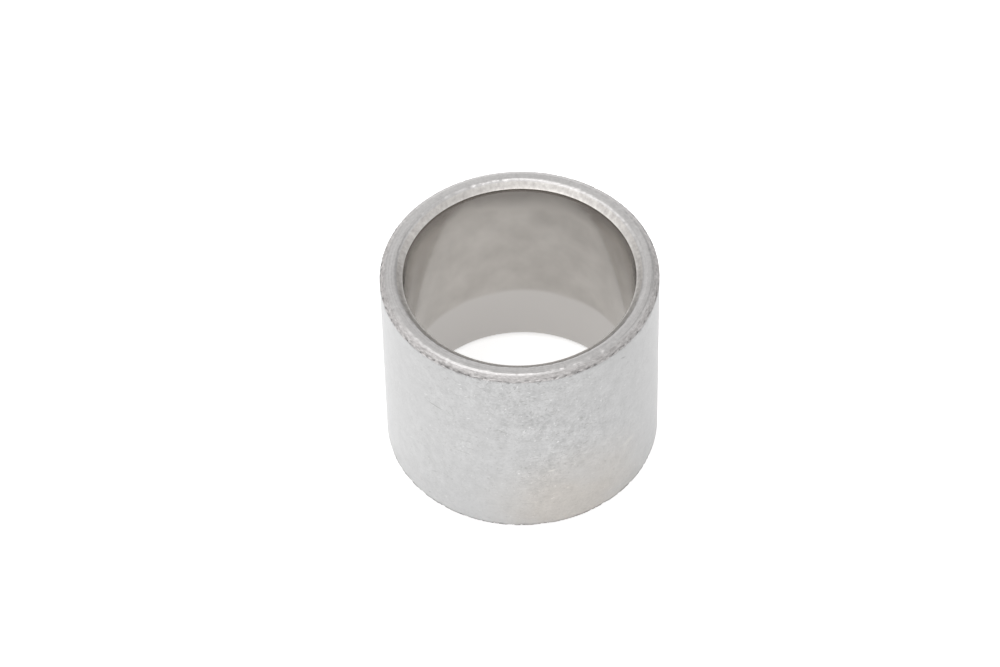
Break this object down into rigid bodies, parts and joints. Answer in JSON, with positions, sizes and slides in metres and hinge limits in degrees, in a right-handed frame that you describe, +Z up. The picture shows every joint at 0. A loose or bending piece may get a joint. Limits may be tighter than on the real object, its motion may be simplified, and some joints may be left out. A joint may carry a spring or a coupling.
{
  "type": "spacer sleeve",
  "caption": "Short plain steel tube with chamfered ends that slides over a shaft and keeps two parts a set distance apart.",
  "frame": {"origin": "centre of the lower end face, which the sleeve stands on", "axes": "+Z up along the sleeve's axis, from the lower end face to the upper one; +X and +Y are any two radial directions, as the sleeve is round"},
  "size_m": [0.03, 0.03, 0.0255],
  "materials": {
    "tumbled_steel": "bare steel: fine matte tumbled outside, smooth honed bore, turned end faces with small nicks on their edges"
  },
  "bodies": {
    "root": {"spacer_sleeve": "tumbled_steel"}
  },
  "joints": []
}
